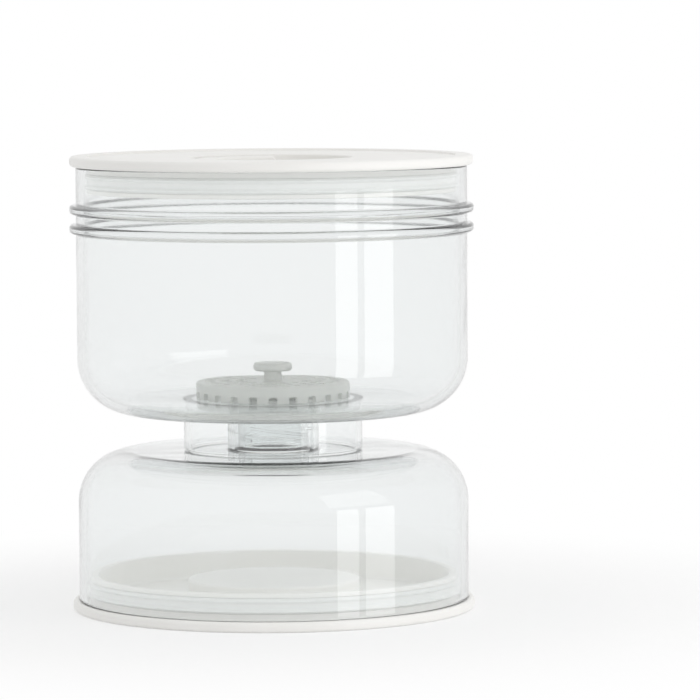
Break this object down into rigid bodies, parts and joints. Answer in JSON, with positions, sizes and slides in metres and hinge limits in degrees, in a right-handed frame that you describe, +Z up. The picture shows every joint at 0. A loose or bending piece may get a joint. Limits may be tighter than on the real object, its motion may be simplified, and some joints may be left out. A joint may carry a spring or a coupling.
{
  "type": "pickle jar with strainer",
  "caption": "Hourglass pickle jar: clear upper and lower jars screwed together at a narrow neck with a strainer inside, and white push-in lids with fold-flat handles.",
  "frame": {"origin": "middle of the face that the jar stands on, at the foot of the bottom lid", "axes": "+Z up along the jar's axis, +X to the right and -Y to the front, as the picture is taken"},
  "size_m": [0.1152, 0.1152, 0.1295],
  "materials": {
    "jar_plastic": "clear, colourless, polished",
    "lid_plastic": "white, fine satin moulded",
    "strainer_plastic": "natural translucent, moulded",
    "seal_silicone": "milky translucent silicone"
  },
  "bodies": {
    "bottom_lid": {"bottom_lid": "lid_plastic", "bottom_lid_seal": "seal_silicone"},
    "lower_jar": {"lower_jar": "jar_plastic"},
    "bottom_handle": {"bottom_lid_handle": "lid_plastic"},
    "neck_gasket": {"neck_gasket": "seal_silicone"},
    "upper_jar": {"upper_jar": "jar_plastic"},
    "strainer": {"strainer": "strainer_plastic"},
    "top_lid": {"top_lid": "lid_plastic", "top_lid_seal": "seal_silicone"},
    "top_handle": {"top_lid_handle": "lid_plastic"}
  },
  "joints": [
    {"name": "bottom_lid_release", "type": "slide", "parent": "bottom_lid", "child": "lower_jar", "axis": [0, 0, 1], "range_m": [0, 0.03]},
    {"name": "bottom_handle_swing", "type": "hinge", "parent": "bottom_lid", "child": "bottom_handle", "pos_m": [0, 0, 0.0025], "axis": [0, -1, 0], "range_deg": [0, 180]},
    {"name": "neck_rise", "type": "slide", "parent": "lower_jar", "child": "neck_gasket", "axis": [0, 0, 1], "range_m": [0, 0.009]},
    {"name": "neck_turn", "type": "hinge", "parent": "neck_gasket", "child": "upper_jar", "pos_m": [0, 0, 0.0563], "axis": [0, 0, 1], "range_deg": [0, 450]},
    {"name": "strainer_lift", "type": "slide", "parent": "upper_jar", "child": "strainer", "axis": [0, 0, 1], "range_m": [0, 0.045]},
    {"name": "top_lid_lift", "type": "slide", "parent": "upper_jar", "child": "top_lid", "axis": [0, 0, 1], "range_m": [0, 0.03]},
    {"name": "top_handle_swing", "type": "hinge", "parent": "top_lid", "child": "top_handle", "pos_m": [0, 0, 0.127], "axis": [0, 1, 0], "range_deg": [0, 180]}
  ],
  "couplings": [
    {"joint": "neck_rise", "follows": "neck_turn", "m_per_rad": 0.0011459}
  ]
}
